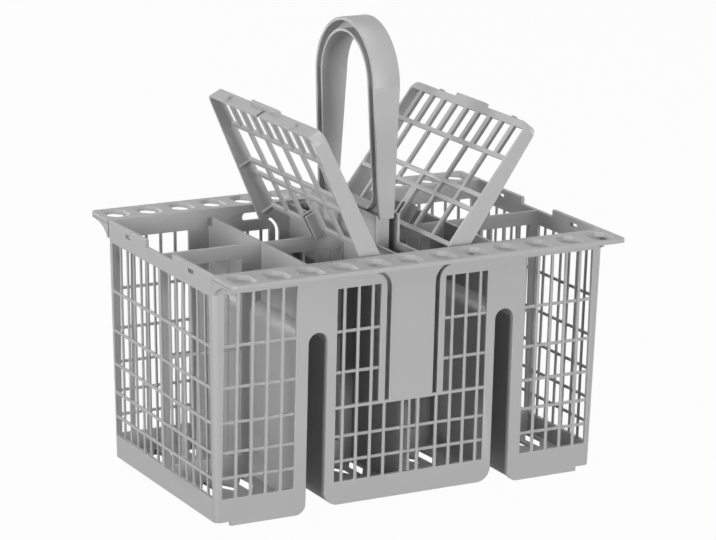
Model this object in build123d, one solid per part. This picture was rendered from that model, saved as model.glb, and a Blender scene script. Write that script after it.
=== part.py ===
from build123d import *
import os
from math import cos, radians, sin, tan

# Cutlery basket for a dishwasher: a basket body in three pockets, a clip-in handle and two
# hinged grid lids.  Origin in the middle of the base, +X along the length, +Z up, millimetres.

# Basket body, outside
LENGTH = 240.0  # over the end walls, at the rim
WIDTH = 137.0  # over the long walls, at the rim
RIM = 140.0  # top of the walls and of the flanges
DRAFT = 1.2  # degrees by which each outer wall leans out
WALL = 2.2
FLOOR = 2.0
FOOT = 2.5  # depth of the feet below the base of the walls
FOOT_INSET = 9.0  # from the base corners to the feet
CORNER = 3.4  # radius of the upright corners
INNER_LAP = 0.9  # how far the walls inside run into the outer ones
THROUGH = 9.0  # length of a cutter that passes through a wall

# Flanges along the two long walls
FLANGE_REACH = 23.0
FLANGE = 2.4
FLANGE_ROUND = 3.0
GUSSET_DROP = 8.0  # height of the curved gussets that end the flanges
GUSSET_TIP = 0.8  # their height at the tip
GUSSET_BEND = 5.0  # from the wall to the turning point of their curve
FLANGE_HOLES = 12
HOLE_MARGIN = 10.5  # from the ends of a flange to the middle of its first hole
HOLE = (13.5, 18.0)  # along the flange and across it, at the top
HOLE_CORNER = 3.8  # cut off each corner of a hole
HOLE_TAPER = 1.8  # the holes narrow by this much each side, downwards

# Channels that part the pockets
CHANNEL_X = 57.5
CHANNEL = 11.5
CHANNEL_TOP = 101.5
CHANNEL_WALL = 2.0
CHANNEL_ROUND = 8.0  # lower corners of the middle pocket
FOOT_ROUND = 6.0  # lower corners of the outer pockets, down to the feet

# Window grids: upright bars on one face of a wall and level bars on the other
BAR = 1.7
GRID_BASE = 15.7  # lower edge of the lowest windows
ROW_FIRST = 12.05  # lowest row of windows, bar to bar
ROW_RATIO = 1.175  # height of a row over that of the row below
ROW_BARS = 5
SIDE_MARGIN = 6.7  # from the corners of the basket to the grids of the long walls
SIDE_GRID = (70.6, LENGTH / 2 - SIDE_MARGIN)  # outer pockets, along X
SIDE_BAYS = 5
SIDE_GRID_TOP = 129.0
MIDDLE_GRID = 46.2  # half the width of the middle grid
MIDDLE_GRID_TOP = 124.5
MIDDLE_PITCH = 8.53
PANEL_BARS = 3  # upright bars of a spring panel
CENTRE_BAR = 4.8  # the two bars beside the middle
END_MARGIN = 6.5  # the same for the end walls
END_GRID = WIDTH / 2 - END_MARGIN  # half the width of the end grids
END_MULLION = 3.4  # wider bar in the middle of the end grids
END_BAYS = 7
END_GRID_TOP = 127.8

# Tongue between the spring panels of the long walls
TONGUE = 27.0
TONGUE_GAP = 2.7
PANEL_EDGE = 3.8
PANEL_ROUND = 8.0
SLIT = 1.4  # between the top of a panel and the wall above it

# Dividers inside
DIVIDER = 1.8
DIVIDER_TOP = 136.0
DIVIDER_STEP = 130.0  # low ends of the cross dividers, below the lid skirts
DIVIDER_BAYS = 5
DIVIDER_GRID_TOP = 128.0

# Floor holes
LEAF_LENGTH = 28.0
LEAF_WIDTH = 8.4
LEAF_COLUMNS = 4
LEAF_ROWS = 2
LEAF_TURN = 14.0  # degrees from Y, to either side in turn

# End walls: room for the finger lip and the catches of the lids
NOTCH = 34.0
NOTCH_DEPTH = 4.0
CATCH_Y = 40.2
CATCH_HOLE = (6.5, 2.2)  # across and up
CATCH_NUB = (4.6, 1.4)
CATCH_Z = 136.0

# Lids, drawn closed on the right-hand side
PIVOT_X = 24.8  # pins at the inner ends of their slots in the long walls
PIVOT_Z = 133.0
PIN = 4.3  # diameter
PIN_CLEARANCE = 0.08  # round the pins, in radius
PIN_END_GAP = 0.3  # from the end of a pin to the outer face of the wall
PIN_SLOT_END = 37.2  # the pins slide this far out, which takes a closed lid into its catches
PIN_SLOT_CORNER = 1.2  # cut off their outer corners
LID_RISE = 8.4  # top face of a closed lid above the pivot
LID_END = 107.3  # free end of a closed lid
LID_MARGIN = 4.5  # from the outside of the long walls to a lid
LID_HALF = WIDTH / 2 - LID_MARGIN
LID_GRID = 2.2
LID_SKIRT = 1.8
SKIRT = 7.5  # depth at the free end
EAR_ROUND = 3.6
HINGE_EDGE = 2.0  # from the pivot to the hinge end of the grid
LID_ROUND = 6.0
LID_BAR = 2.6
LID_BARS = (50.6, 59.5, 83.9)  # middles of the bars across a closed lid, along X
LID_SLOTS = 5  # on each side of the middle, in the row at the free end
SLOT_BAR = 3.6
LID_BAYS = 3  # windows on each side of the middle, in the other rows
BRACE = (1.2, 1.2, 9.0)  # ribs inside the side skirts, at the second bar and the hinge end
LIP = 33.0
LIP_REACH = 2.2
CATCH_REACH = 2.0
GUIDE_GAP = 2.8  # between the two ribs that straddle the long divider
GUIDE_RIB = 1.8
GUIDE_DEPTH = 8.5
GUIDE_END = 41.3
LEFT_OPEN = 63.2  # degrees, at rest
RIGHT_OPEN = 52.8  # degrees, at rest
RIGHT_SLIDE = 3.9  # of the right-hand lid along its slots, at rest

# Handle and its socket
SOCKET = 11.8  # clear width between the cheeks
CHEEK = 1.5
CHEEK_TOP = 153.5
CHEEK_SPAN = 76.0  # length of the raised cheeks
SOCKET_TOP = 138.0  # the cheeks beyond the handle
SOCKET_FLOOR = 114.0
SOCKET_BASE = 2.0
CATCH_WINDOW = (7.0, 5.0)  # along Y and up, in the cheeks
CATCH_WINDOW_Z = 128.0
CATCH_WINDOW_Y = 20.0
HANDLE_TOP = 257.0
HANDLE_FOOT = 151.0  # lower end of the two legs
HANDLE_SPAN = 73.0  # over the legs, at their lower end
HANDLE_LEAN = 1.6  # degrees
HANDLE_WIDE = 16.0
HANDLE_NARROW = 9.0
BAND = 8.0
OUTER_BAND = 2.0
INNER_BAND = 1.6
WEB = 2.4
CROSS_BAR = 3.8
LOOP_ROUND = 10.0
STEM = 7.0  # thickness of the plate in the socket
STEM_SPAN = 66.0
STEM_FIT = 0.1  # clearance of the stem's ribs to the cheeks
STEM_RIB = 3.0


def half_length(z):
    """Half the outside length of the body at height z."""
    return LENGTH / 2 - (RIM - z) * tan(radians(DRAFT))


def half_width(z):
    """Half the outside width of the body at height z."""
    return WIDTH / 2 - (RIM - z) * tan(radians(DRAFT))


def spans(low, high, bars, width=BAR):
    """Open stretches between low and high that bars of the given width leave."""
    edges = [low]
    for bar in sorted(bars):
        edges += [bar - width / 2, bar + width / 2]
    edges.append(high)
    return list(zip(edges[::2], edges[1::2]))


def even_spans(low, high, count, width=BAR):
    """The same for bars that split the stretch into equal bays."""
    pitch = (high - low + width) / count
    bars = [low - width / 2 + pitch * (i + 1) for i in range(count - 1)]
    return spans(low, high, bars, width)


def both_sides(stretches):
    """The stretches and their mirror images about zero."""
    return stretches + [(-high, -low) for low, high in stretches]


def row_bars():
    """Heights of the level bars, which stand closer towards the floor."""
    heights = []
    z = GRID_BASE - BAR / 2
    for i in range(ROW_BARS):
        z += ROW_FIRST * ROW_RATIO**i
        heights.append(z)
    return heights


def leaning_prism(plane, half, z_low, z_high, inset):
    """Long prism whose two sides lean with a pair of walls; half tells where they are."""
    low = half(z_low) - inset
    high = half(z_high) - inset
    outline = Polyline((-low, z_low), (low, z_low), (high, z_high), (-high, z_high), close=True)
    return extrude(plane * make_face(outline), LENGTH, both=True)


def tapered_block(z_low, z_high, inset):
    """Solid that follows the leaning walls from z_low to z_high, inset from them."""
    block = leaning_prism(Plane.YZ, half_width, z_low, z_high, inset)
    return block & leaning_prism(Plane.XZ, half_length, z_low, z_high, inset)


def box_between(x, y, z):
    """Box from three (low, high) pairs."""
    size = [pair[1] - pair[0] for pair in (x, y, z)]
    middle = [(pair[0] + pair[1]) / 2 for pair in (x, y, z)]
    return Pos(*middle) * Box(*size)


def front_plane():
    """Plane in the middle of the front wall, leaning with it; its y axis runs up the wall."""
    lean = radians(DRAFT)
    return Plane((0, WALL / 2 - half_width(0), 0), x_dir=(1, 0, 0), z_dir=(0, -cos(lean), -sin(lean)))


def right_plane():
    """The same for the right-hand end wall; its x axis runs along Y."""
    lean = radians(DRAFT)
    return Plane((half_length(0) - WALL / 2, 0, 0), x_dir=(0, 1, 0), z_dir=(cos(lean), 0, -sin(lean)))


def slots(plane, columns, rows, depths):
    """Cutters between two depths about a wall's middle plane, at every column and row."""
    cutters = []
    for x in columns:
        cutters += [plane.location * box_between(x, row, depths) for row in rows]
    return cutters


def grid(plane, columns, rows, upright_outside):
    """Cutters for a grid of windows, as slots from both faces of the wall that cross."""
    width = [(columns[0][0], columns[-1][1])]
    height = [(rows[0][0], rows[-1][1])]
    outer = (0, WALL)
    inner = (-WALL, 0)
    if upright_outside:
        return slots(plane, columns, height, outer) + slots(plane, width, rows, inner)
    return slots(plane, width, rows, outer) + slots(plane, columns, height, inner)


def front_openings():
    """All openings of one long wall: grids, tongue gaps and pin slots."""
    plane = front_plane()
    bars = row_bars()
    tongue_low = bars[2]
    panel = TONGUE / 2 + TONGUE_GAP
    panel_bars = [panel + MIDDLE_PITCH * (i + 1) for i in range(PANEL_BARS)]
    lower_bars = [side * bar for side in (-1, 1) for bar in (CENTRE_BAR, panel, *panel_bars)]
    lower = spans(-MIDDLE_GRID, MIDDLE_GRID, lower_bars)
    cutters = grid(plane, lower, spans(GRID_BASE, tongue_low - BAR / 2, bars[:2]), True)

    side = even_spans(*SIDE_GRID, SIDE_BAYS)
    side_rows = spans(GRID_BASE, SIDE_GRID_TOP, bars)
    upper = spans(panel + PANEL_EDGE, MIDDLE_GRID, panel_bars)
    upper_rows = spans(tongue_low + BAR / 2, MIDDLE_GRID_TOP, bars[3:])
    half = grid(plane, side, side_rows, True) + grid(plane, upper, upper_rows, True)
    gap = tongue_gap(tongue_low + BAR / 2) + pin_slot()
    upright = Plane((0, WALL / 2 - half_width(PIVOT_Z), 0), x_dir=(1, 0, 0), z_dir=(0, -1, 0))
    half.append(extrude(upright * gap, THROUGH / 2, both=True))
    return cutters + half + [mirror(cutter, Plane.YZ) for cutter in half]


def right_openings():
    """All openings of one end wall: grid, finger notch and catch holes."""
    plane = right_plane()
    columns = even_spans(END_MULLION / 2, END_GRID, END_BAYS)
    half = grid(plane, columns, spans(GRID_BASE, END_GRID_TOP, row_bars()), False)
    half.append(Pos(half_length(RIM), CATCH_Y, CATCH_Z) * Box(THROUGH, *CATCH_HOLE))
    notch = Pos(half_length(RIM), 0, RIM) * Box(THROUGH, NOTCH, 2 * NOTCH_DEPTH)
    return half + [mirror(cutter, Plane.XZ) for cutter in half] + [notch]


def tongue_gap(z_low):
    """Gap beside the tongue: upright, then round the corner of the panel into the pin slot."""
    inner = TONGUE / 2
    panel = inner + TONGUE_GAP
    turn = panel + PANEL_ROUND
    slit_low = PIVOT_Z - PIN / 2 - PIN_CLEARANCE
    slit_high = slit_low + SLIT
    outer_round = turn - inner
    outline = [
        Line((inner, z_low), (panel, z_low)),
        Line((panel, z_low), (panel, slit_low - PANEL_ROUND)),
        RadiusArc((panel, slit_low - PANEL_ROUND), (turn, slit_low), PANEL_ROUND),
        Line((turn, slit_low), (turn, slit_high)),
        RadiusArc((turn, slit_high), (inner, slit_high - outer_round), -outer_round),
        Line((inner, slit_high - outer_round), (inner, z_low)),
    ]
    return make_face(outline)


def pin_slot():
    """Slot for a pin of a lid, which rests on the top of the spring panel."""
    radius = PIN / 2 + PIN_CLEARANCE
    length = PIN_SLOT_END - PIVOT_X
    way = Pos(PIVOT_X + length / 2, PIVOT_Z) * Rectangle(length, 2 * radius)
    way = chamfer(way.vertices().sort_by(Axis.X)[-2:], PIN_SLOT_CORNER)
    return way + Pos(PIVOT_X, PIVOT_Z) * Circle(radius)


def channel_outline(grow):
    """Arched way on the right, seen along Y, flared down to the feet on its outer side and to
    the floor on its inner side; grow adds its walls."""
    half = CHANNEL / 2 + grow
    spring = CHANNEL_TOP - CHANNEL / 2
    outer = CHANNEL / 2 + FOOT_ROUND
    inner = CHANNEL / 2 + CHANNEL_ROUND
    shoulder = FOOT + CHANNEL_ROUND
    outline = [
        Line((-inner, -FOOT), (outer, -FOOT)),
        Line((outer, -FOOT), (outer, grow)),
        RadiusArc((outer, grow), (half, FOOT_ROUND), FOOT_ROUND - grow),
        Line((half, FOOT_ROUND), (half, spring)),
        RadiusArc((half, spring), (-half, spring), -half),
        Line((-half, spring), (-half, shoulder)),
        RadiusArc((-half, shoulder), (-inner, FOOT + grow), CHANNEL_ROUND - grow),
        Line((-inner, FOOT + grow), (-inner, -FOOT)),
    ]
    return make_face(outline)


def plate_along_y(x, outline):
    """Divider across the basket, centred on x, from a (y, z) outline."""
    side = Plane((x - DIVIDER / 2, 0, 0), x_dir=(0, 1, 0), z_dir=(1, 0, 0))
    return extrude(side * make_face(Polyline(*outline, close=True)), DIVIDER)


def dividers():
    """Cross dividers over the channels, the long divider and the stem below the socket."""
    far = WIDTH
    step = LID_HALF - LID_SKIRT - DIVIDER / 2
    cross = [
        (-far, 0),
        (far, 0),
        (far, DIVIDER_STEP),
        (step, DIVIDER_STEP),
        (step, DIVIDER_TOP),
        (-step, DIVIDER_TOP),
        (-step, DIVIDER_STEP),
        (-far, DIVIDER_STEP),
    ]
    plates = [plate_along_y(side * CHANNEL_X, cross) for side in (-1, 1)]
    plates.append(box_between((-LENGTH, LENGTH), (-DIVIDER / 2, DIVIDER / 2), (0, DIVIDER_TOP)))
    plates.append(box_between((-DIVIDER / 2, DIVIDER / 2), (-far, far), (0, SOCKET_FLOOR)))
    return plates


def socket():
    """Trough across the middle that takes the stem of the handle."""
    half = SOCKET / 2 + CHEEK
    low = SOCKET_FLOOR - SOCKET_BASE
    return [
        box_between((-half, half), (-WIDTH, WIDTH), (low, SOCKET_TOP)),
        box_between((-half, half), (-CHEEK_SPAN / 2, CHEEK_SPAN / 2), (low, CHEEK_TOP)),
    ]


def socket_hollow():
    """Room between the cheeks, with the windows that hold the catches of the stem."""
    end = half_width(SOCKET_FLOOR) - WALL
    hollow = [box_between((-SOCKET / 2, SOCKET / 2), (-end, end), (SOCKET_FLOOR, 2 * RIM))]
    for y in (-CATCH_WINDOW_Y, CATCH_WINDOW_Y):
        hollow.append(Pos(0, y, CATCH_WINDOW_Z) * Box(SOCKET + 4 * CHEEK, *CATCH_WINDOW))
    return hollow


def divider_windows():
    """Windows of the long divider, in each of its four stretches."""
    plane = Plane((0, 0, 0), x_dir=(1, 0, 0), z_dir=(0, -1, 0))
    rows = spans(GRID_BASE, DIVIDER_GRID_TOP, row_bars()[3:4])
    stretches = [SIDE_GRID, (SOCKET / 2 + 2 * CHEEK, CHANNEL_X - CHANNEL / 2 - 2 * CHANNEL_WALL)]
    half = []
    for low, high in stretches:
        half += slots(plane, even_spans(low, high, DIVIDER_BAYS), rows, (-DIVIDER, DIVIDER))
    return half + [mirror(cutter, Plane.YZ) for cutter in half]


def floor_holes():
    """Pointed drain holes, turned alternately, in the eight compartments."""
    tip = (0, LEAF_LENGTH / 2)
    side = (LEAF_WIDTH / 2, 0)
    leaf = make_face(Polyline(tip, side, (0, -tip[1]), (-side[0], 0), close=True))
    inner_low = DIVIDER / 2
    inner_high = CHANNEL_X - CHANNEL / 2 - CHANNEL_ROUND
    outer_low = CHANNEL_X + CHANNEL / 2 + FOOT_ROUND
    outer_high = half_length(FOOT) - WALL
    y_low = DIVIDER / 2
    y_high = half_width(FOOT) - WALL
    cutters = []
    for x_low, x_high in ((inner_low, inner_high), (outer_low, outer_high)):
        for i in range(LEAF_COLUMNS):
            for j in range(LEAF_ROWS):
                x = x_low + (x_high - x_low) * (i + 0.5) / LEAF_COLUMNS
                y = y_low + (y_high - y_low) * (j + 0.5) / LEAF_ROWS
                turn = LEAF_TURN if (i + j) % 2 else -LEAF_TURN
                for x_side in (-1, 1):
                    for y_side in (-1, 1):
                        spot = Pos(x_side * x, y_side * y, 0) * Rot(0, 0, turn * x_side * y_side)
                        cutters.append(extrude(spot * leaf, FOOT + 2 * FLOOR))
    return cutters


def flange_hole():
    """Funnel through a flange, about the Z axis."""
    rims = []
    for z, inset in ((RIM, 0), (RIM - FLANGE, HOLE_TAPER)):
        rim = Rectangle(HOLE[0] - 2 * inset, HOLE[1] - 2 * inset)
        rims.append(Pos(0, 0, z) * chamfer(rim.vertices(), HOLE_CORNER))
    return loft(rims, ruled=True)


def flange():
    """Front flange with its row of holes and the curved gussets at its ends."""
    inner = half_width(RIM) - WALL / 2
    outer = half_width(RIM) + FLANGE_REACH
    outline = Pos(0, -(inner + outer) / 2) * Rectangle(LENGTH, outer - inner)
    outline = fillet(outline.vertices().sort_by(Axis.Y)[:2], FLANGE_ROUND)
    plate = extrude(Pos(0, 0, RIM - FLANGE) * outline, FLANGE)

    hole = flange_hole()
    middle = half_width(RIM) + FLANGE_REACH / 2
    first = HOLE_MARGIN - LENGTH / 2
    pitch = -2 * first / (FLANGE_HOLES - 1)
    plate -= [Pos(first + pitch * i, -middle, 0) * hole for i in range(FLANGE_HOLES)]

    under = RIM - FLANGE
    tip = outer - FLANGE_ROUND
    wall = half_width(under)
    ledge = RIM - FLANGE / 2
    curve = Bezier(
        (-tip, under - GUSSET_TIP),
        (-wall - GUSSET_BEND, under - GUSSET_TIP),
        (-wall, under - GUSSET_DROP),
    )
    rest = Polyline(curve @ 1, (-inner, under - GUSSET_DROP), (-inner, ledge), (-tip, ledge), curve @ 0)
    gusset_face = make_face([curve, rest])
    gussets = []
    for start in (-half_length(under), half_length(under) - WALL):
        side = Plane((start, 0, 0), x_dir=(0, 1, 0), z_dir=(1, 0, 0))
        gussets.append(extrude(side * gusset_face, WALL))
    return [plate] + gussets


def feet():
    """Low ribs below the long walls of the outer pockets."""
    inner = CHANNEL_X + CHANNEL / 2
    outer = half_length(FOOT) - FOOT_INSET
    near = half_width(FOOT)
    ribs = []
    for y in ((-near, WALL - near), (near - WALL, near)):
        for x in ((inner, outer), (-outer, -inner)):
            ribs.append(box_between(x, y, (0, FOOT + FLOOR / 2)))
    return ribs


def basket_body():
    """The basket as one moulding."""
    core = tapered_block(FOOT, RIM, 0)
    core = fillet(core.edges().filter_by(lambda edge: edge.bounding_box().size.Z > WALL), CORNER)
    inside = tapered_block(FOOT + FLOOR, RIM + WALL, WALL)
    inner_reach = tapered_block(FOOT, CHEEK_TOP + WALL, WALL - INNER_LAP)

    front = front_openings()
    right = right_openings()
    openings = front + [mirror(cutter, Plane.XZ) for cutter in front]
    openings += right + [mirror(cutter, Plane.YZ) for cutter in right]
    body = core - inside - openings

    across = Plane((CHANNEL_X, WIDTH, 0), x_dir=(1, 0, 0), z_dir=(0, -1, 0))
    block = extrude(across * channel_outline(CHANNEL_WALL), 2 * WIDTH)
    way = extrude(across * channel_outline(0), 2 * WIDTH)
    ways = [way, mirror(way, Plane.YZ)]
    inner = Part() + [block, mirror(block, Plane.YZ)] + dividers() + socket()
    body += inner & inner_reach
    body += flange() + [mirror(piece, Plane.XZ) for piece in flange()] + feet()
    return body - (ways + socket_hollow() + divider_windows() + floor_holes())


def skirt(reach):
    """Side skirt of the lid as an (x, z) face, deeper towards the pin and round about it."""
    top = PIVOT_Z + LID_RISE
    hinge_end = PIVOT_X + HINGE_EDGE
    outline = [
        Line((reach, top), (hinge_end, top)),
        Line((hinge_end, top), (PIVOT_X - EAR_ROUND, PIVOT_Z)),
        RadiusArc((PIVOT_X - EAR_ROUND, PIVOT_Z), (PIVOT_X, PIVOT_Z - EAR_ROUND), -EAR_ROUND),
        Line((PIVOT_X, PIVOT_Z - EAR_ROUND), (reach, top - SKIRT)),
        Line((reach, top - SKIRT), (reach, top)),
    ]
    return make_face(outline)


def closed_lid():
    """Right-hand lid in its closed place."""
    top = PIVOT_Z + LID_RISE
    hinge_end = PIVOT_X + HINGE_EDGE
    plan = Pos((hinge_end + LID_END) / 2, 0) * Rectangle(LID_END - hinge_end, 2 * LID_HALF)
    plan = fillet(plan.vertices().sort_by(Axis.X)[-2:], LID_ROUND)
    plate = extrude(Pos(0, 0, top - LID_GRID) * plan, LID_GRID)

    rows = spans(hinge_end + LID_BAR, LID_END - LID_SKIRT - LID_BAR, LID_BARS, LID_BAR)
    side = LID_HALF - LID_SKIRT
    half_guide = GUIDE_GAP / 2 + GUIDE_RIB
    guide_bays = both_sides(even_spans(half_guide, side, LID_BAYS, LID_BAR))
    bays = both_sides(even_spans(LID_BAR / 2, side, LID_BAYS, LID_BAR))
    slots = both_sides(even_spans(SLOT_BAR / 2, side, LID_SLOTS, SLOT_BAR))
    deep = (top - 2 * LID_GRID, top + LID_GRID)
    for x, columns in zip(rows, (guide_bays, bays, bays, slots)):
        plate -= [box_between(x, y, deep) for y in columns]

    rim = extrude(Pos(0, 0, top - SKIRT) * plan, SKIRT)
    rim -= extrude(Pos(0, 0, top - SKIRT) * offset(plan, -LID_SKIRT), SKIRT)
    rim -= box_between((0, LID_END - LID_ROUND), (-LID_HALF, LID_HALF), (0, 2 * RIM))
    sides = []
    for y in (-LID_HALF, side):
        face = Plane((0, y, 0), x_dir=(1, 0, 0), z_dir=(0, -1, 0)) * skirt(LID_END - LID_ROUND)
        sides.append(extrude(face, -LID_SKIRT))
    for y in (BRACE[1] / 2 - side, side - BRACE[1] / 2):
        for x in (LID_BARS[1], hinge_end + LID_BAR / 2):
            sides.append(Pos(x, y, top - BRACE[2] / 2) * Box(*BRACE))

    ribs = []
    for y in ((GUIDE_GAP / 2, half_guide), (-half_guide, -GUIDE_GAP / 2)):
        ribs.append(box_between((hinge_end, GUIDE_END), y, (top - GUIDE_DEPTH, top)))
    pins = []
    reach = half_width(PIVOT_Z) - PIN_END_GAP
    for way in (-1, 1):
        axis = Plane((PIVOT_X, way * side, PIVOT_Z), z_dir=(0, way, 0))
        pins.append(extrude(axis * Circle(PIN / 2), reach - side))
    lip_x = (LID_END - LID_SKIRT, LID_END + LIP_REACH)
    lip = box_between(lip_x, (-LIP / 2, LIP / 2), (top - LID_GRID, top))
    catches = []
    for y in (-CATCH_Y, CATCH_Y):
        catches.append(Pos(LID_END, y, CATCH_Z) * Box(2 * CATCH_REACH, *CATCH_NUB))
    gap = (-GUIDE_GAP / 2, GUIDE_GAP / 2)
    under_plate = box_between((0, LID_END), gap, (0, top - LID_GRID))
    guide_slot = box_between((0, GUIDE_END - GUIDE_RIB), gap, deep)
    return plate + rim + sides + ribs + pins + lip + catches - [under_plate, guide_slot]


def open_lid(side, angle, slide):
    """The lid on one side (-1 left, +1 right), swung open about its pins and slid along their slots."""
    lid = closed_lid()
    if side < 0:
        lid = mirror(lid, Plane.YZ)
    axis = Axis((side * PIVOT_X, 0, PIVOT_Z), (0, -side, 0))
    return Pos(side * slide, 0, 0) * lid.rotate(axis, angle)


def handle_outline(inset):
    """Legs and arch of the loop, inset from its outer face, down to the foot of the legs."""
    lean = radians(HANDLE_LEAN)
    half = HANDLE_SPAN / 2
    centre = (HANDLE_TOP - half * cos(lean) - HANDLE_FOOT * sin(lean)) / (1 - sin(lean))
    radius = HANDLE_TOP - centre - inset
    foot = half - inset / cos(lean)
    touch = (radius * cos(lean), centre + radius * sin(lean))
    return foot, touch, (0, centre + radius)


def loop_face(inset, low, corner):
    """Face inside the loop's outline at an inset, closed at the height low."""
    foot, touch, crown = handle_outline(inset)
    foot -= (low - HANDLE_FOOT) * tan(radians(HANDLE_LEAN))
    outline = [
        Line((-foot, low), (foot, low)),
        Line((foot, low), touch),
        ThreePointArc(touch, crown, (-touch[0], touch[1])),
        Line((-touch[0], touch[1]), (-foot, low)),
    ]
    face = make_face(outline)
    if corner:
        face = fillet(face.vertices().sort_by(Axis.Y)[:2], corner)
    return face


def handle():
    """Loop with grooved sides on a stem that stands in the socket."""
    across = Plane((-HANDLE_WIDE, 0, 0), x_dir=(0, 1, 0), z_dir=(1, 0, 0))
    low = HANDLE_FOOT + CROSS_BAR
    ring = loop_face(0, HANDLE_FOOT, 0) - loop_face(BAND, low, LOOP_ROUND)
    loop = extrude(across * ring, 2 * HANDLE_WIDE)
    arch_low = handle_outline(0)[1][1]
    wide = HANDLE_WIDE / 2
    narrow = HANDLE_NARROW / 2
    taper = Polyline(
        (-narrow, HANDLE_FOOT),
        (narrow, HANDLE_FOOT),
        (wide, arch_low),
        (wide, HANDLE_TOP),
        (-wide, HANDLE_TOP),
        (-wide, arch_low),
        close=True,
    )
    front = Plane((0, HANDLE_SPAN, 0), x_dir=(1, 0, 0), z_dir=(0, -1, 0))
    loop &= extrude(front * make_face(taper), 2 * HANDLE_SPAN)

    inner_low = low - INNER_BAND
    groove = loop_face(OUTER_BAND, HANDLE_FOOT + INNER_BAND, 0)
    groove -= loop_face(BAND - INNER_BAND, inner_low, LOOP_ROUND + INNER_BAND)
    for start in (WEB / 2, -WEB / 2 - 2 * HANDLE_WIDE):
        side = Plane((start, 0, 0), x_dir=(0, 1, 0), z_dir=(1, 0, 0))
        loop -= extrude(side * groove, 2 * HANDLE_WIDE)

    stem = box_between((-STEM / 2, STEM / 2), (-STEM_SPAN / 2, STEM_SPAN / 2), (SOCKET_FLOOR, HANDLE_FOOT))
    fit = SOCKET / 2 - STEM_FIT
    ribs = []
    catches = []
    for y in (-CATCH_WINDOW_Y, 0, CATCH_WINDOW_Y):
        rib_y = (y - STEM_RIB / 2, y + STEM_RIB / 2)
        ribs.append(box_between((-fit, fit), rib_y, (SOCKET_FLOOR, HANDLE_FOOT - STEM_RIB)))
    for y in (-CATCH_WINDOW_Y, CATCH_WINDOW_Y):
        catches.append(catch_wedge(y, fit))
    return loop + stem + ribs + catches


def catch_wedge(y, fit):
    """Ramped catch on both faces of the stem, below the upper edge of its window."""
    top = CATCH_WINDOW_Z + CATCH_WINDOW[1] / 2 - STEM_FIT
    low = CATCH_WINDOW_Z - CATCH_WINDOW[1] / 2
    reach = SOCKET / 2 + CHEEK - STEM_FIT
    ramp = Polyline((-fit, low), (fit, low), (reach, top), (-reach, top), close=True)
    front = Plane((0, y + STEM_RIB / 2, 0), x_dir=(1, 0, 0), z_dir=(0, -1, 0))
    return extrude(front * make_face(ramp), STEM_RIB)


os.makedirs("parts", exist_ok=True)
export_step(basket_body(), "parts/basket_body.step")
export_step(handle(), "parts/handle.step")
export_step(open_lid(-1, LEFT_OPEN, 0), "parts/left_lid.step")
export_step(open_lid(1, RIGHT_OPEN, RIGHT_SLIDE), "parts/right_lid.step")
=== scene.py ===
"""Dresses the cutlery basket: satin grey plastic with soft moulded edges, on a pale studio stage."""

from math import cos, radians, sin

import bpy
from mathutils import Matrix, Vector

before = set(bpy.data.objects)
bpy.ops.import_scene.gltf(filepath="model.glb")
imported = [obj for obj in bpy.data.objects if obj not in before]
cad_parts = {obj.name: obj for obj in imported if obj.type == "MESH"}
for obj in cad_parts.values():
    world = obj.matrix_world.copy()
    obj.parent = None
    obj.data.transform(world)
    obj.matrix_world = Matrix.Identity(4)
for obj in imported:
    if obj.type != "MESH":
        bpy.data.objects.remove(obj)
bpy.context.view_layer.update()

bl_info = {
    "name": "Cutlery basket",
    "version": (1, 0, 0),
    "blender": (4, 5, 0),
    "location": "3D View > Sidebar > Basket",
    "description": "Gives the basket, its handle and its lids their plastic, and sets the studio",
    "category": "Object",
}

LIDS = ("left_lid", "right_lid")
GRAIN_DETAIL = 2.0
FLOW_DETAIL = 3.0
NOISE_MIDDLE = 0.5
WHITE = (1.0, 1.0, 1.0, 1.0)


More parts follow.
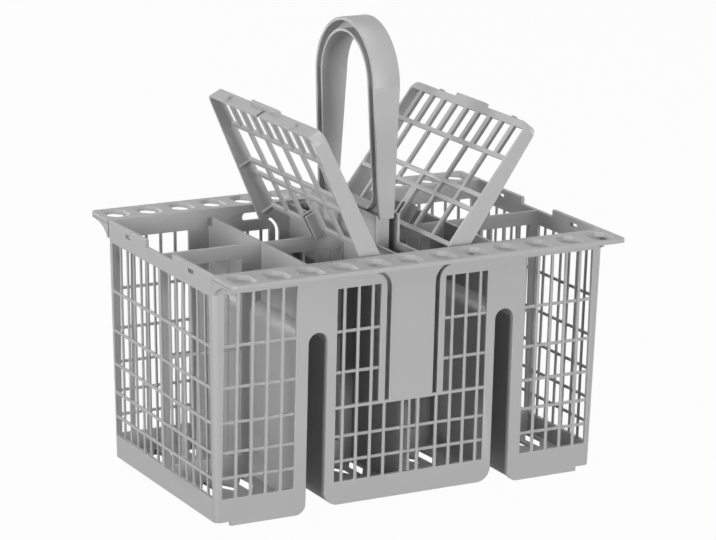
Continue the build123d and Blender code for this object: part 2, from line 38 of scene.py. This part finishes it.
class PlasticFinish(bpy.types.PropertyGroup):
    """Colour and surface of the grey plastic."""

    body_colour: bpy.props.FloatVectorProperty(
        name="Basket colour",
        description="Base colour of the basket's grey polypropylene",
        subtype="COLOR",
        size=3,
        min=0.0,
        max=1.0,
        default=(0.41, 0.41, 0.41),
    )
    handle_colour: bpy.props.FloatVectorProperty(
        name="Handle colour",
        description="Base colour of the loop handle",
        subtype="COLOR",
        size=3,
        min=0.0,
        max=1.0,
        default=(0.42, 0.42, 0.42),
    )
    lid_colour: bpy.props.FloatVectorProperty(
        name="Lid colour",
        description="Base colour of the two lids",
        subtype="COLOR",
        size=3,
        min=0.0,
        max=1.0,
        default=(0.42, 0.42, 0.42),
    )
    roughness: bpy.props.FloatProperty(
        name="Roughness",
        description="Mean roughness of the satin surface",
        subtype="FACTOR",
        min=0.0,
        max=1.0,
        default=0.46,
    )
    refraction: bpy.props.FloatProperty(
        name="Refraction",
        description="Index of refraction of polypropylene",
        min=1.0,
        default=1.49,
    )
    sheen: bpy.props.FloatProperty(
        name="Sheen",
        description="Strength of the mirror part of the surface, 0.5 being a plain one",
        subtype="FACTOR",
        min=0.0,
        max=1.0,
        default=0.4,
    )
    edge_round: bpy.props.FloatProperty(
        name="Edge rounding",
        description="Width of the soft edge that moulding leaves on every rim and bar",
        unit="LENGTH",
        min=0.0,
        default=0.00025,
    )
    edge_angle: bpy.props.FloatProperty(
        name="Edge angle",
        description="Edges that turn by more than this are rounded",
        subtype="ANGLE",
        min=0.0,
        default=radians(40),
    )
    edge_steps: bpy.props.IntProperty(
        name="Edge steps",
        description="Faces across each rounded edge",
        min=1,
        default=2,
    )
    weld_distance: bpy.props.FloatProperty(
        name="Weld distance",
        description="Corners of neighbouring faces that are closer than this become one",
        unit="LENGTH",
        min=0.0,
        default=0.000001,
    )
    grain_size: bpy.props.FloatProperty(
        name="Grain size",
        description="Spacing of the fine spark-eroded grain",
        unit="LENGTH",
        min=0.0001,
        default=0.0006,
    )
    grain_depth: bpy.props.FloatProperty(
        name="Grain depth",
        description="Height of the grain as the bump shows it",
        unit="LENGTH",
        min=0.0,
        default=0.00001,
    )
    flow_size: bpy.props.FloatProperty(
        name="Flow mark size",
        description="Spacing of the faint cloudy marks that the flow of plastic leaves",
        unit="LENGTH",
        min=0.001,
        default=0.035,
    )
    flow_contrast: bpy.props.FloatProperty(
        name="Flow mark contrast",
        description="How far the flow marks change the colour and the roughness",
        subtype="FACTOR",
        min=0.0,
        max=1.0,
        default=0.06,
    )


class StudioStage(bpy.types.PropertyGroup):
    """Camera, lights and floor."""

    camera_place: bpy.props.FloatVectorProperty(
        name="Camera place",
        description="Where the camera stands, in the basket's frame",
        subtype="TRANSLATION",
        unit="LENGTH",
        size=3,
        default=(-0.824942, -1.53594, 0.571914),
    )
    camera_yaw: bpy.props.FloatProperty(
        name="Camera yaw",
        description="Turn of the view from +Y towards +X",
        subtype="ANGLE",
        default=0.494,
    )
    camera_pitch: bpy.props.FloatProperty(
        name="Camera pitch",
        description="Downward tilt of the view",
        subtype="ANGLE",
        default=0.257,
    )
    camera_roll: bpy.props.FloatProperty(
        name="Camera roll",
        description="Turn of the picture about the line of sight",
        subtype="ANGLE",
        default=0.014,
    )
    camera_lens: bpy.props.FloatProperty(
        name="Camera lens",
        description="Focal length in millimetres on a sensor 36 mm wide",
        min=1.0,
        default=162.6,
    )
    floor_colour: bpy.props.FloatVectorProperty(
        name="Floor colour",
        description="Colour of the floor and of the backdrop",
        subtype="COLOR",
        size=3,
        min=0.0,
        max=1.0,
        default=(0.35, 0.35, 0.35),
    )
    floor_size: bpy.props.FloatProperty(
        name="Floor size",
        description="Length of each side of the floor",
        unit="LENGTH",
        min=0.1,
        default=12.0,
    )
    floor_glow: bpy.props.FloatProperty(
        name="Floor whiteness",
        description="Share of plain white that the camera sees on the floor, over its shadow",
        subtype="FACTOR",
        min=0.0,
        max=1.0,
        default=0.975,
    )
    ambient: bpy.props.FloatProperty(
        name="Ambient light",
        description="Strength of the even light from all round",
        min=0.0,
        default=0.01,
    )
    aim: bpy.props.FloatVectorProperty(
        name="Aim of the lights",
        description="Point in the basket that every softbox faces",
        subtype="TRANSLATION",
        unit="LENGTH",
        size=3,
        default=(0.0, 0.0, 0.1),
    )
    box_size: bpy.props.FloatProperty(
        name="Softbox size",
        description="Length of each side of the softboxes",
        unit="LENGTH",
        min=0.01,
        default=0.6,
    )
    key_place: bpy.props.FloatVectorProperty(
        name="Key light place",
        description="Where the softbox at the front stands",
        subtype="TRANSLATION",
        unit="LENGTH",
        size=3,
        default=(0.15, -1.85, 0.3),
    )
    key_power: bpy.props.FloatProperty(
        name="Key light",
        description="Power of the softbox at the front, in watts",
        min=0.0,
        default=24.0,
    )
    side_place: bpy.props.FloatVectorProperty(
        name="Side light place",
        description="Where the softbox on the left stands",
        subtype="TRANSLATION",
        unit="LENGTH",
        size=3,
        default=(-1.75, -0.4, 0.55),
    )
    side_power: bpy.props.FloatProperty(
        name="Side light",
        description="Power of the softbox on the left, in watts",
        min=0.0,
        default=23.0,
    )
    top_place: bpy.props.FloatVectorProperty(
        name="Top light place",
        description="Where the softbox overhead hangs",
        subtype="TRANSLATION",
        unit="LENGTH",
        size=3,
        default=(0.1, 0.1, 1.7),
    )
    top_power: bpy.props.FloatProperty(
        name="Top light",
        description="Power of the softbox overhead, in watts",
        min=0.0,
        default=10.5,
    )
    back_place: bpy.props.FloatVectorProperty(
        name="Back light place",
        description="Where the softbox behind the basket stands",
        subtype="TRANSLATION",
        unit="LENGTH",
        size=3,
        default=(-0.35, 1.85, 0.2),
    )
    back_power: bpy.props.FloatProperty(
        name="Back light",
        description="Power of the softbox behind the basket, in watts",
        min=0.0,
        default=22.0,
    )
    right_place: bpy.props.FloatVectorProperty(
        name="Right light place",
        description="Where the softbox on the right stands",
        subtype="TRANSLATION",
        unit="LENGTH",
        size=3,
        default=(1.9, 0.0, 0.2),
    )
    right_power: bpy.props.FloatProperty(
        name="Right light",
        description="Power of the softbox on the right, in watts",
        min=0.0,
        default=16.0,
    )


def math_node(tree, operation, *terms):
    """Math node on sockets or plain numbers, in order. Gives back its output."""
    node = tree.nodes.new("ShaderNodeMath")
    node.operation = operation
    for socket, term in zip(node.inputs, terms):
        if isinstance(term, bpy.types.NodeSocket):
            tree.links.new(term, socket)
        else:
            socket.default_value = term
    return node.outputs["Value"]


def noise_texture(tree, detail):
    """Noise node that reads object coordinates in metres."""
    coordinates = tree.nodes.new("ShaderNodeTexCoord")
    noise = tree.nodes.new("ShaderNodeTexNoise")
    noise.inputs["Detail"].default_value = detail
    tree.links.new(coordinates.outputs["Object"], noise.inputs["Vector"])
    return noise


def moulded_grain():
    """Node group with the fine grain and the faint flow marks of moulded plastic."""
    name = "Moulded grain"
    if name in bpy.data.node_groups:
        return bpy.data.node_groups[name]
    tree = bpy.data.node_groups.new(name, "ShaderNodeTree")
    sockets = tree.interface
    sockets.new_socket("Colour", in_out="INPUT", socket_type="NodeSocketColor")
    for socket in ("Roughness", "Grain scale", "Flow scale", "Flow contrast"):
        sockets.new_socket(socket, in_out="INPUT", socket_type="NodeSocketFloat")
    sockets.new_socket("Colour", in_out="OUTPUT", socket_type="NodeSocketColor")
    for socket in ("Roughness", "Height"):
        sockets.new_socket(socket, in_out="OUTPUT", socket_type="NodeSocketFloat")
    given = tree.nodes.new("NodeGroupInput")
    result = tree.nodes.new("NodeGroupOutput")
    links = tree.links

    grain = noise_texture(tree, GRAIN_DETAIL)
    links.new(given.outputs["Grain scale"], grain.inputs["Scale"])
    links.new(grain.outputs["Fac"], result.inputs["Height"])

    flow = noise_texture(tree, FLOW_DETAIL)
    links.new(given.outputs["Flow scale"], flow.inputs["Scale"])
    centred = math_node(tree, "SUBTRACT", flow.outputs["Fac"], NOISE_MIDDLE)
    marks = math_node(tree, "MULTIPLY", centred, given.outputs["Flow contrast"])

    tinted = tree.nodes.new("ShaderNodeVectorMath")
    tinted.operation = "SCALE"
    links.new(given.outputs["Colour"], tinted.inputs[0])
    links.new(math_node(tree, "ADD", marks, 1.0), tinted.inputs["Scale"])
    links.new(tinted.outputs["Vector"], result.inputs["Colour"])

    rougher = math_node(tree, "ADD", given.outputs["Roughness"], marks)
    links.new(rougher, result.inputs["Roughness"])
    return tree


def satin_plastic(name, colour):
    """Material of one moulding: satin grey polypropylene."""
    finish = bpy.context.scene.basket_finish
    material = bpy.data.materials.new(name)
    material.use_nodes = True
    tree = material.node_tree
    shader = tree.nodes["Principled BSDF"]
    shader.inputs["IOR"].default_value = finish.refraction
    shader.inputs["Specular IOR Level"].default_value = finish.sheen

    grain = tree.nodes.new("ShaderNodeGroup")
    grain.node_tree = moulded_grain()
    grain.inputs["Colour"].default_value = (*colour, 1.0)
    grain.inputs["Roughness"].default_value = finish.roughness
    grain.inputs["Grain scale"].default_value = 1 / finish.grain_size
    grain.inputs["Flow scale"].default_value = 1 / finish.flow_size
    grain.inputs["Flow contrast"].default_value = finish.flow_contrast
    tree.links.new(grain.outputs["Colour"], shader.inputs["Base Color"])
    tree.links.new(grain.outputs["Roughness"], shader.inputs["Roughness"])

    bump = tree.nodes.new("ShaderNodeBump")
    bump.inputs["Distance"].default_value = finish.grain_depth
    tree.links.new(grain.outputs["Height"], bump.inputs["Height"])
    tree.links.new(bump.outputs["Normal"], shader.inputs["Normal"])
    return material


def soften_edges(piece):
    """Joins the faces of a moulding and rounds its sharp edges a little."""
    finish = bpy.context.scene.basket_finish
    weld = piece.modifiers.new("Joined faces", "WELD")
    weld.merge_threshold = finish.weld_distance
    bevel = piece.modifiers.new("Soft edges", "BEVEL")
    bevel.width = finish.edge_round
    bevel.segments = finish.edge_steps
    bevel.limit_method = "ANGLE"
    bevel.angle_limit = finish.edge_angle
    bevel.use_clamp_overlap = False
    bevel.loop_slide = False


def dress(node, material):
    """Gives a CAD node its plastic and its soft edges."""
    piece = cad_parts[node]
    piece.data.materials.clear()
    piece.data.materials.append(material)
    soften_edges(piece)


class BASKET_OT_body(bpy.types.Operator):
    """Dress the basket body"""

    bl_idname = "basket.body"
    bl_label = "Basket body"

    def execute(self, context):
        finish = context.scene.basket_finish
        dress("basket_body", satin_plastic("Basket plastic", finish.body_colour))
        return {"FINISHED"}


class BASKET_OT_handle(bpy.types.Operator):
    """Dress the loop handle"""

    bl_idname = "basket.handle"
    bl_label = "Handle"

    def execute(self, context):
        finish = context.scene.basket_finish
        dress("handle", satin_plastic("Handle plastic", finish.handle_colour))
        return {"FINISHED"}


class BASKET_OT_lids(bpy.types.Operator):
    """Dress the two grid lids"""

    bl_idname = "basket.lids"
    bl_label = "Lids"

    def execute(self, context):
        finish = context.scene.basket_finish
        material = satin_plastic("Lid plastic", finish.lid_colour)
        for node in LIDS:
            dress(node, material)
        return {"FINISHED"}


def white_to_the_eye(tree):
    """Mask that is 1 on camera, glossy and transmission rays."""
    path = tree.nodes.new("ShaderNodeLightPath")
    seen = path.outputs["Is Camera Ray"]
    for other in ("Is Glossy Ray", "Is Transmission Ray"):
        seen = math_node(tree, "MAXIMUM", seen, path.outputs[other])
    return seen


def studio_world(stage):
    """World that lights evenly and looks white."""
    world = bpy.data.worlds.new("Studio")
    bpy.context.scene.world = world
    world.use_nodes = True
    tree = world.node_tree
    tree.nodes.clear()
    light = tree.nodes.new("ShaderNodeBackground")
    light.inputs["Color"].default_value = WHITE
    light.inputs["Strength"].default_value = stage.ambient
    white = tree.nodes.new("ShaderNodeBackground")
    white.inputs["Color"].default_value = WHITE
    mix = tree.nodes.new("ShaderNodeMixShader")
    output = tree.nodes.new("ShaderNodeOutputWorld")
    tree.links.new(white_to_the_eye(tree), mix.inputs["Fac"])
    tree.links.new(light.outputs["Background"], mix.inputs[1])
    tree.links.new(white.outputs["Background"], mix.inputs[2])
    tree.links.new(mix.outputs["Shader"], output.inputs["Surface"])


def pale_floor_material(stage):
    """Floor that keeps the shadow but looks nearly white."""
    material = bpy.data.materials.new("Pale floor")
    material.use_nodes = True
    tree = material.node_tree
    tree.nodes.clear()
    matt = tree.nodes.new("ShaderNodeBsdfDiffuse")
    matt.inputs["Color"].default_value = (*stage.floor_colour, 1.0)
    white = tree.nodes.new("ShaderNodeEmission")
    white.inputs["Color"].default_value = WHITE
    share = math_node(tree, "MULTIPLY", white_to_the_eye(tree), stage.floor_glow)
    mix = tree.nodes.new("ShaderNodeMixShader")
    output = tree.nodes.new("ShaderNodeOutputMaterial")
    tree.links.new(share, mix.inputs["Fac"])
    tree.links.new(matt.outputs["BSDF"], mix.inputs[1])
    tree.links.new(white.outputs["Emission"], mix.inputs[2])
    tree.links.new(mix.outputs["Shader"], output.inputs["Surface"])
    return material


def floor(stage):
    """Large level floor under the feet."""
    half = stage.floor_size / 2
    corners = [(-half, -half, 0), (half, -half, 0), (half, half, 0), (-half, half, 0)]
    mesh = bpy.data.meshes.new("Floor")
    mesh.from_pydata(corners, [], [(0, 1, 2, 3)])
    mesh.materials.append(pale_floor_material(stage))
    plane = bpy.data.objects.new("Floor", mesh)
    bpy.context.scene.collection.objects.link(plane)


def softbox(stage, name, place, power):
    """Square area lamp that faces the basket."""
    lamp = bpy.data.lights.new(name, "AREA")
    lamp.energy = power
    lamp.size = stage.box_size
    box = bpy.data.objects.new(name, lamp)
    box.location = place
    box.rotation_euler = (Vector(stage.aim) - Vector(place)).to_track_quat("-Z", "Y").to_euler()
    bpy.context.scene.collection.objects.link(box)


def photo_camera(stage):
    """Camera at the photograph's place."""
    yaw = stage.camera_yaw
    pitch = stage.camera_pitch
    roll = stage.camera_roll
    forward = Vector((sin(yaw) * cos(pitch), cos(yaw) * cos(pitch), -sin(pitch)))
    level = Vector((cos(yaw), -sin(yaw), 0))
    upward = level.cross(forward)
    right = cos(roll) * level + sin(roll) * upward
    up = cos(roll) * upward - sin(roll) * level
    turn = Matrix((right, up, -forward)).transposed()

    lens = bpy.data.cameras.new("Photo camera")
    lens.lens = stage.camera_lens
    lens.sensor_fit = "HORIZONTAL"
    camera = bpy.data.objects.new("Photo camera", lens)
    camera.matrix_world = Matrix.Translation(stage.camera_place) @ turn.to_4x4()
    bpy.context.scene.collection.objects.link(camera)
    bpy.context.scene.camera = camera


class BASKET_OT_stage(bpy.types.Operator):
    """Set the floor, the lights and the camera"""

    bl_idname = "basket.stage"
    bl_label = "Studio stage"

    def execute(self, context):
        stage = context.scene.basket_stage
        context.scene.view_settings.view_transform = "Standard"
        studio_world(stage)
        floor(stage)
        softbox(stage, "Front softbox", stage.key_place, stage.key_power)
        softbox(stage, "Side softbox", stage.side_place, stage.side_power)
        softbox(stage, "Top softbox", stage.top_place, stage.top_power)
        softbox(stage, "Back softbox", stage.back_place, stage.back_power)
        softbox(stage, "Right softbox", stage.right_place, stage.right_power)
        photo_camera(stage)
        return {"FINISHED"}


class BASKET_PT_panel(bpy.types.Panel):
    """Lists the steps and the values of the basket"""

    bl_idname = "BASKET_PT_panel"
    bl_label = "Cutlery basket"
    bl_space_type = "VIEW_3D"
    bl_region_type = "UI"
    bl_category = "Basket"

    def draw(self, context):
        layout = self.layout
        for step in (BASKET_OT_body, BASKET_OT_handle, BASKET_OT_lids, BASKET_OT_stage):
            layout.operator(step.bl_idname)
        for group in (context.scene.basket_finish, context.scene.basket_stage):
            for name in group.__annotations__:
                layout.prop(group, name)


CLASSES = (
    PlasticFinish,
    StudioStage,
    BASKET_OT_body,
    BASKET_OT_handle,
    BASKET_OT_lids,
    BASKET_OT_stage,
    BASKET_PT_panel,
)


def register():
    """Adds the classes and the scene's two groups of values."""
    for cls in CLASSES:
        bpy.utils.register_class(cls)
    bpy.types.Scene.basket_finish = bpy.props.PointerProperty(type=PlasticFinish)
    bpy.types.Scene.basket_stage = bpy.props.PointerProperty(type=StudioStage)


def unregister():
    """Takes them away again."""
    del bpy.types.Scene.basket_stage
    del bpy.types.Scene.basket_finish
    for cls in reversed(CLASSES):
        bpy.utils.unregister_class(cls)


def main():
    """Runs every step in order."""
    register()
    bpy.ops.basket.body()
    bpy.ops.basket.handle()
    bpy.ops.basket.lids()
    bpy.ops.basket.stage()


if __name__ == "__main__":
    main()
